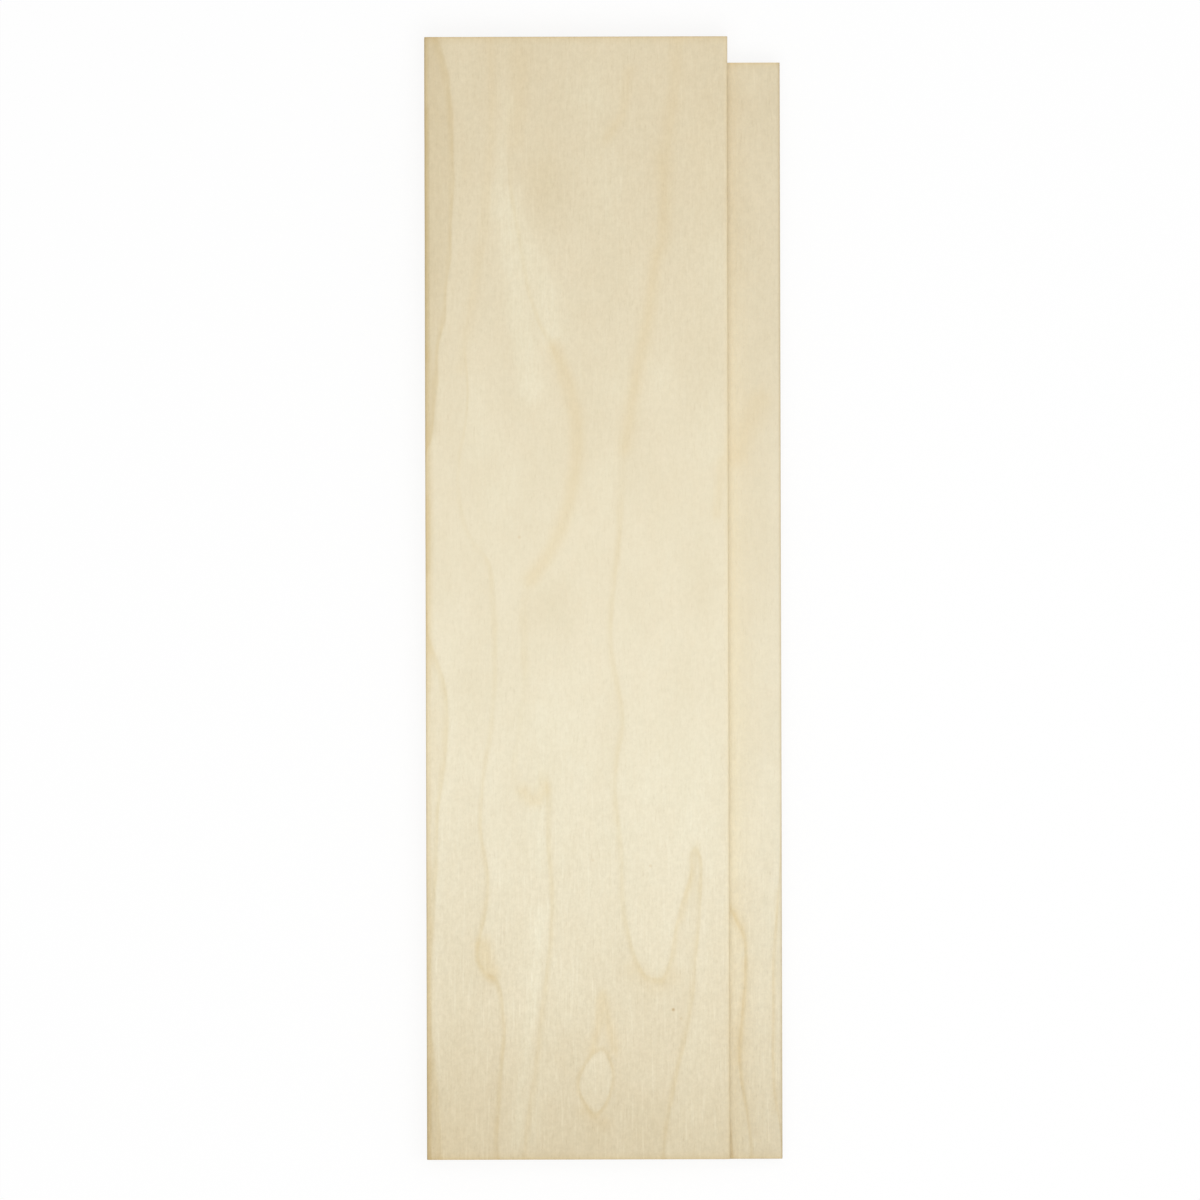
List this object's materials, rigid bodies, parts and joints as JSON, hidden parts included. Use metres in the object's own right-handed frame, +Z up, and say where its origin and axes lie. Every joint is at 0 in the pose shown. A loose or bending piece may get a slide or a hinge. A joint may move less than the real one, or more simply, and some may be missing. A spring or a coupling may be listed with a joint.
{
  "type": "tongue and groove board",
  "caption": "Short planed board of pale solid wood with a tongue along one long edge, cut back at one end, and a matching groove along the other edge, for lining a wall or ceiling edge to edge.",
  "frame": {"origin": "centre of the board's overall outline, tongue included, on the plane of its back", "axes": "+Y along the board towards the end where the tongue is cut back, +X across it towards the tongue, +Z up out of the face"},
  "size_m": [0.095, 0.3, 0.015],
  "materials": {
    "pale_wood": "planed and sanded bare wood, matt"
  },
  "bodies": {
    "root": {"board": "pale_wood"}
  },
  "joints": []
}
